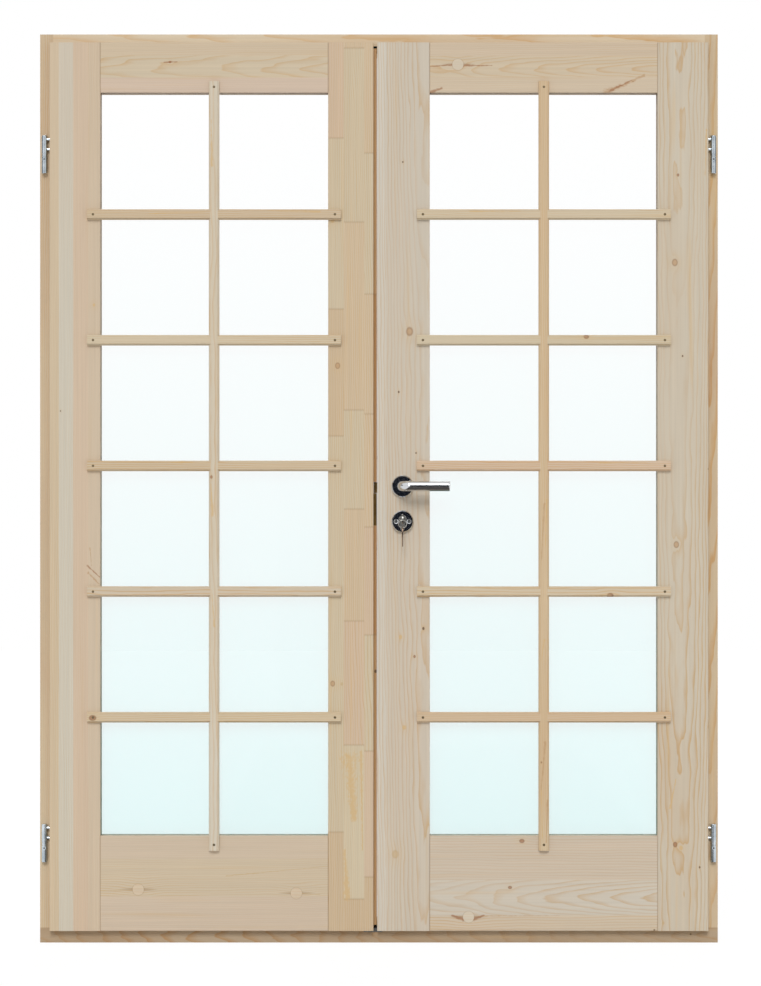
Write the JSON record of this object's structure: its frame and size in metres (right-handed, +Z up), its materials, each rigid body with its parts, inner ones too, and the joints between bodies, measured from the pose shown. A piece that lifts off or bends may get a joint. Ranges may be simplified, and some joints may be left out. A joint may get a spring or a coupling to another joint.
{
  "type": "french doors",
  "caption": "Pair of glazed pine french doors in their frame, with a loose grille of glazing bars on each leaf, lift-off hinges, lever handles, a keyed lock and flush bolts.",
  "frame": {"origin": "middle of the sill's underside, halfway through the frame's depth", "axes": "+X right as seen from outside, +Y indoors through the doorway, +Z up"},
  "size_m": [1.485, 0.1695, 1.99],
  "materials": {
    "pine": "bare planed pine",
    "glass": "clear float glass",
    "chrome": "satin chrome plate",
    "zinc": "zinc plated steel",
    "strike": "yellow passivated steel, dull",
    "key_steel": "nickel plate",
    "seal": "dark brown rubber",
    "spacer": "mill aluminium"
  },
  "bodies": {
    "frame": {"frame_head": "pine", "frame_sill": "pine", "frame_left_jamb": "pine", "frame_right_jamb": "pine", "frame_seal": "seal", "frame_corner_screws": "zinc", "head_keep": "zinc", "sill_keep": "zinc", "frame_hinge_halves": "zinc", "hinge_pins": "zinc", "hinge_set_screws": "zinc"},
    "left_leaf": {"left_hinge_stile": "pine", "left_meeting_stile": "pine", "left_top_rail": "pine", "left_bottom_rail": "pine", "left_dowels": "pine", "left_outer_pane": "glass", "left_inner_pane": "glass", "left_glass_spacer": "spacer", "left_glazing_beads": "pine", "left_grille_upright": "pine", "left_grille_bars": "pine", "left_grille_screws": "zinc", "left_leaf_hinge_halves": "zinc", "left_meeting_seal": "seal", "strike_plate": "strike", "top_bolt_plate": "zinc", "bottom_bolt_plate": "zinc"},
    "top_bolt": {"top_bolt": "zinc"},
    "bottom_bolt": {"bottom_bolt": "zinc"},
    "right_leaf": {"right_hinge_stile": "pine", "right_meeting_stile": "pine", "right_top_rail": "pine", "right_bottom_rail": "pine", "right_dowels": "pine", "right_outer_pane": "glass", "right_inner_pane": "glass", "right_glass_spacer": "spacer", "right_glazing_beads": "pine", "right_grille_upright": "pine", "right_grille_bars": "pine", "right_grille_screws": "zinc", "right_leaf_hinge_halves": "zinc", "lock_case": "zinc", "lock_cylinder": "chrome", "outside_rose": "chrome", "inside_rose": "chrome", "outside_escutcheon": "chrome", "inside_escutcheon": "chrome", "escutcheon_screws": "zinc"},
    "handle": {"handle_spindle": "zinc", "outside_lever": "chrome", "inside_lever": "chrome"},
    "latch": {"latch_bolt": "strike"},
    "dead_bolt": {"dead_bolt": "zinc"},
    "key_set": {"cylinder_plug": "key_steel", "key": "key_steel", "key_ring": "key_steel", "spare_key": "key_steel"}
  },
  "joints": [
    {"name": "left_leaf_swing", "type": "hinge", "parent": "frame", "child": "left_leaf", "pos_m": [-0.732, -0.053, 0.9725], "axis": [0, 0, -1], "range_deg": [0, 160]},
    {"name": "right_leaf_swing", "type": "hinge", "parent": "frame", "child": "right_leaf", "pos_m": [0.732, -0.053, 0.9725], "axis": [0, 0, 1], "range_deg": [0, 160]},
    {"name": "handle_turn", "type": "hinge", "parent": "right_leaf", "child": "handle", "pos_m": [0.0515, -0.0335, 1], "axis": [0, 1, 0], "range_deg": [0, 45], "stiffness_Nm_per_rad": 2, "springref_deg": -20.05},
    {"name": "latch_slide", "type": "slide", "parent": "right_leaf", "child": "latch", "axis": [1, 0, 0], "range_m": [0, 0.00745]},
    {"name": "key_turn", "type": "hinge", "parent": "right_leaf", "child": "key_set", "pos_m": [0.0515, -0.0335, 0.928], "axis": [0, 1, 0], "range_deg": [0, 360]},
    {"name": "bolt_throw", "type": "slide", "parent": "right_leaf", "child": "dead_bolt", "axis": [-1, 0, 0], "range_m": [0, 0.0201]},
    {"name": "top_bolt_slide", "type": "slide", "parent": "left_leaf", "child": "top_bolt", "axis": [0, 0, 1], "range_m": [0, 0.018]},
    {"name": "bottom_bolt_slide", "type": "slide", "parent": "left_leaf", "child": "bottom_bolt", "axis": [0, 0, -1], "range_m": [0, 0.018]}
  ],
  "couplings": [
    {"joint": "latch_slide", "follows": "handle_turn", "m_per_rad": 0.009422},
    {"joint": "bolt_throw", "follows": "key_turn", "m_per_rad": 0.0031831}
  ]
}
